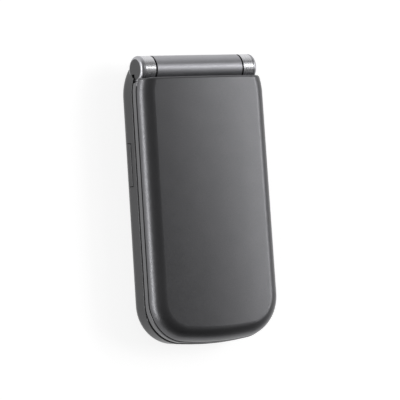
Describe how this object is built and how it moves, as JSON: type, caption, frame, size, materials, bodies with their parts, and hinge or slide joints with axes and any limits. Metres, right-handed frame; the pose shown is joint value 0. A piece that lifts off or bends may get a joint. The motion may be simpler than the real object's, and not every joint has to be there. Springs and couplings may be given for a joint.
{
  "type": "flip phone",
  "caption": "Clamshell mobile phone with a plain satin lid, barrel hinge, keypad and inner display, closed and lying on its back.",
  "frame": {"origin": "middle of the closed phone's box, on its back", "axes": "+X to the phone's right, +Y to the hinge, +Z out of the lid"},
  "size_m": [0.054, 0.105, 0.0187],
  "materials": {
    "painted_shell": "satin metallic grey paint",
    "lid_frame_paint": "satin metallic grey paint",
    "polished_band": "polished",
    "cap_paint": "satin metallic grey paint",
    "key_plastic": "satin",
    "ring_key": "satin metallic paint",
    "window": "clear, black border",
    "display_glass": "dark, switched off",
    "inner_plastic": "moulded black",
    "rubber": "matt",
    "board": "solder mask",
    "film": "clear film",
    "chip": "moulded",
    "sheet_metal": "tin-plated",
    "steel": "turned",
    "brass": "gold-plated",
    "battery_wrap": "wrapped in printed film",
    "mesh": "woven"
  },
  "bodies": {
    "base": {"base_front_housing": "painted_shell", "base_rear_housing": "inner_plastic", "ear_bands": "polished_band", "ear_caps": "cap_paint", "hinge_shaft": "steel", "hinge_cam": "steel", "hinge_bush": "inner_plastic", "main_board": "board", "dome_sheet": "film", "key_mat": "rubber", "board_components": "chip", "shield_can": "sheet_metal", "sim_holder": "sheet_metal", "usb_port": "sheet_metal", "antenna": "inner_plastic", "battery_contacts": "brass", "battery": "battery_wrap", "camera_module": "chip", "loudspeaker": "chip", "side_switches": "chip", "base_screws": "steel"},
    "lid": {"lid_frame": "lid_frame_paint", "lid_cover": "painted_shell", "display_lens": "window", "display_module": "display_glass", "display_tray": "sheet_metal", "lid_board": "board", "vibration_motor": "steel", "earpiece": "chip", "earpiece_mesh": "mesh", "lid_magnet": "steel", "lid_screws": "steel", "lid_bumpers": "rubber", "hinge_barrel": "lid_frame_paint", "hinge_housing": "steel", "hinge_follower": "steel", "hinge_spring": "steel", "hinge_flex": "film"},
    "back_cover": {"battery_cover": "painted_shell", "camera_window": "window", "speaker_mesh": "mesh"},
    "volume": {"volume_rocker": "painted_shell"},
    "key_star": {"key_star": "key_plastic"},
    "key_0": {"key_0": "key_plastic"},
    "key_hash": {"key_hash": "key_plastic"},
    "key_7": {"key_7": "key_plastic"},
    "key_8": {"key_8": "key_plastic"},
    "key_9": {"key_9": "key_plastic"},
    "key_4": {"key_4": "key_plastic"},
    "key_5": {"key_5": "key_plastic"},
    "key_6": {"key_6": "key_plastic"},
    "key_1": {"key_1": "key_plastic"},
    "key_2": {"key_2": "key_plastic"},
    "key_3": {"key_3": "key_plastic"},
    "key_call": {"key_call": "key_plastic"},
    "key_end": {"key_end": "key_plastic"},
    "key_soft_left": {"key_soft_left": "key_plastic"},
    "key_soft_right": {"key_soft_right": "key_plastic"},
    "key_pad": {"key_pad": "ring_key"},
    "key_ok": {"key_ok": "key_plastic"}
  },
  "joints": [
    {"name": "lid_hinge", "type": "hinge", "parent": "base", "child": "lid", "pos_m": [0, 0.04757, 0.01024], "axis": [-1, 0, 0], "range_deg": [0, 160]},
    {"name": "battery_cover_slide", "type": "slide", "parent": "base", "child": "back_cover", "axis": [0, -1, 0], "range_m": [0, 0.004]},
    {"name": "volume_rock", "type": "hinge", "parent": "base", "child": "volume", "pos_m": [-0.02431, 0.01357, 0.0056], "axis": [0, 0, 1], "range_deg": [-1.2, 1.2], "stiffness_Nm_per_rad": 0.4},
    {"name": "key_star_press", "type": "slide", "parent": "base", "child": "key_star", "axis": [0, 0, -1], "range_m": [0, 0.0003], "stiffness_N_per_m": 2000},
    {"name": "key_0_press", "type": "slide", "parent": "base", "child": "key_0", "axis": [0, 0, -1], "range_m": [0, 0.0003], "stiffness_N_per_m": 2000},
    {"name": "key_hash_press", "type": "slide", "parent": "base", "child": "key_hash", "axis": [0, 0, -1], "range_m": [0, 0.0003], "stiffness_N_per_m": 2000},
    {"name": "key_7_press", "type": "slide", "parent": "base", "child": "key_7", "axis": [0, 0, -1], "range_m": [0, 0.0003], "stiffness_N_per_m": 2000},
    {"name": "key_8_press", "type": "slide", "parent": "base", "child": "key_8", "axis": [0, 0, -1], "range_m": [0, 0.0003], "stiffness_N_per_m": 2000},
    {"name": "key_9_press", "type": "slide", "parent": "base", "child": "key_9", "axis": [0, 0, -1], "range_m": [0, 0.0003], "stiffness_N_per_m": 2000},
    {"name": "key_4_press", "type": "slide", "parent": "base", "child": "key_4", "axis": [0, 0, -1], "range_m": [0, 0.0003], "stiffness_N_per_m": 2000},
    {"name": "key_5_press", "type": "slide", "parent": "base", "child": "key_5", "axis": [0, 0, -1], "range_m": [0, 0.0003], "stiffness_N_per_m": 2000},
    {"name": "key_6_press", "type": "slide", "parent": "base", "child": "key_6", "axis": [0, 0, -1], "range_m": [0, 0.0003], "stiffness_N_per_m": 2000},
    {"name": "key_1_press", "type": "slide", "parent": "base", "child": "key_1", "axis": [0, 0, -1], "range_m": [0, 0.0003], "stiffness_N_per_m": 2000},
    {"name": "key_2_press", "type": "slide", "parent": "base", "child": "key_2", "axis": [0, 0, -1], "range_m": [0, 0.0003], "stiffness_N_per_m": 2000},
    {"name": "key_3_press", "type": "slide", "parent": "base", "child": "key_3", "axis": [0, 0, -1], "range_m": [0, 0.0003], "stiffness_N_per_m": 2000},
    {"name": "key_call_press", "type": "slide", "parent": "base", "child": "key_call", "axis": [0, 0, -1], "range_m": [0, 0.0003], "stiffness_N_per_m": 2000},
    {"name": "key_end_press", "type": "slide", "parent": "base", "child": "key_end", "axis": [0, 0, -1], "range_m": [0, 0.0003], "stiffness_N_per_m": 2000},
    {"name": "key_soft_left_press", "type": "slide", "parent": "base", "child": "key_soft_left", "axis": [0, 0, -1], "range_m": [0, 0.0003], "stiffness_N_per_m": 2000},
    {"name": "key_soft_right_press", "type": "slide", "parent": "base", "child": "key_soft_right", "axis": [0, 0, -1], "range_m": [0, 0.0003], "stiffness_N_per_m": 2000},
    {"name": "key_pad_press", "type": "slide", "parent": "base", "child": "key_pad", "axis": [0, 0, -1], "range_m": [0, 0.0003], "stiffness_N_per_m": 2000},
    {"name": "key_ok_press", "type": "slide", "parent": "base", "child": "key_ok", "axis": [0, 0, -1], "range_m": [0, 0.0003], "stiffness_N_per_m": 2000}
  ]
}
